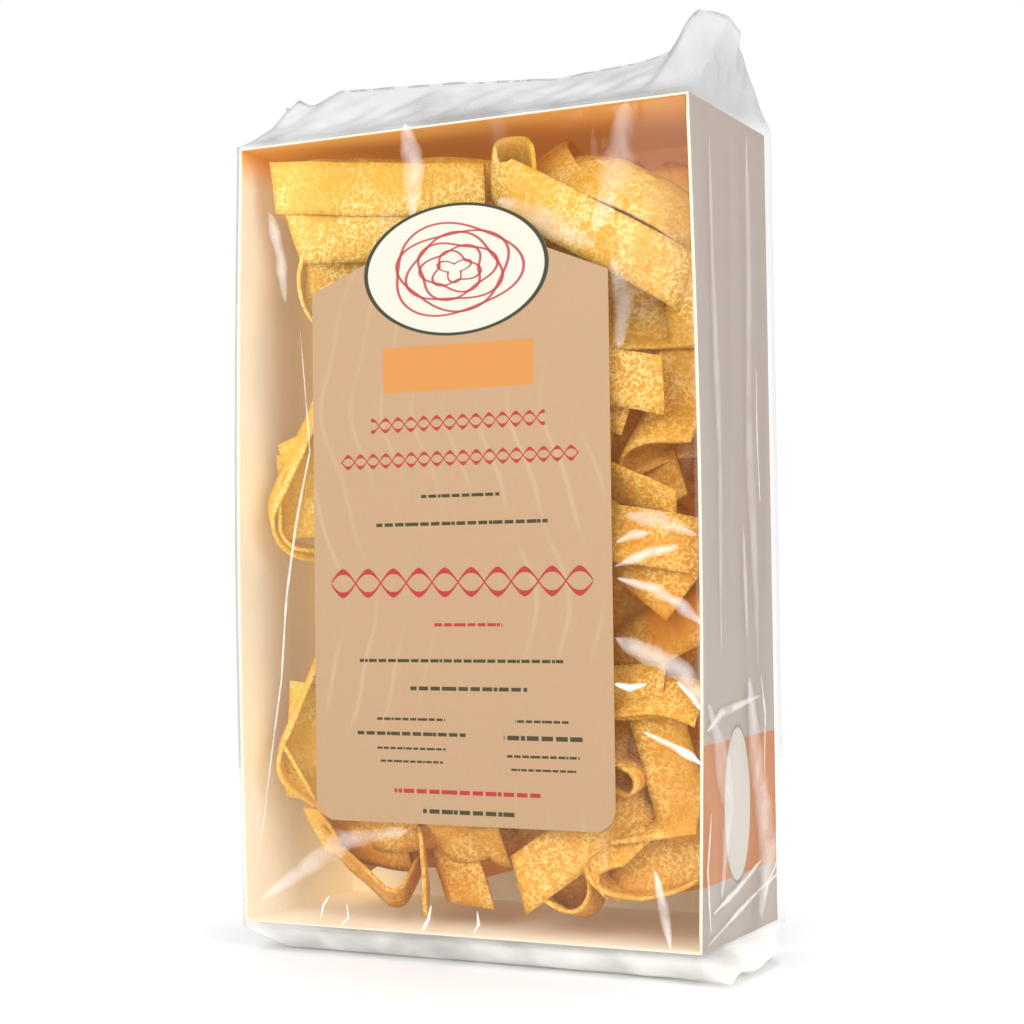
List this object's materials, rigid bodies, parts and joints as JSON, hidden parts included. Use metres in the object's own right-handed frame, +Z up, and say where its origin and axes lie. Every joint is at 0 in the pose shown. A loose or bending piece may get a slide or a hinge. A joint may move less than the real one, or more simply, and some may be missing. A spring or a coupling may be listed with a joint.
{
  "type": "pack of dried pasta nests",
  "caption": "Upright card tray with an open front, filled with nests of wide dried egg pasta, wrapped in clear film with a folded top seal and a flat paper label on the front.",
  "frame": {"origin": "middle of the wrap's flat base, on the surface that the pack stands on", "axes": "+Z up along the pack's height, the open front of the tray faces -Y, +X to the right seen from the front"},
  "size_m": [0.1672, 0.0689, 0.2909],
  "materials": {
    "card": "uncoated tan card, a little lighter at its cut edges",
    "pasta": "dried egg pasta, golden with a fine pale crackle and a dull surface",
    "film": "clear glossy wrapping film, creased, whitish where it is gathered",
    "label": "smooth tan paper with plain printed fields of colour"
  },
  "bodies": {
    "root": {"tray": "card", "nest_top_left": "pasta", "nest_top_right": "pasta", "nest_middle_left": "pasta", "nest_middle_right": "pasta", "nest_bottom_left": "pasta", "nest_bottom_right": "pasta", "film": "film", "label": "label"}
  },
  "joints": []
}
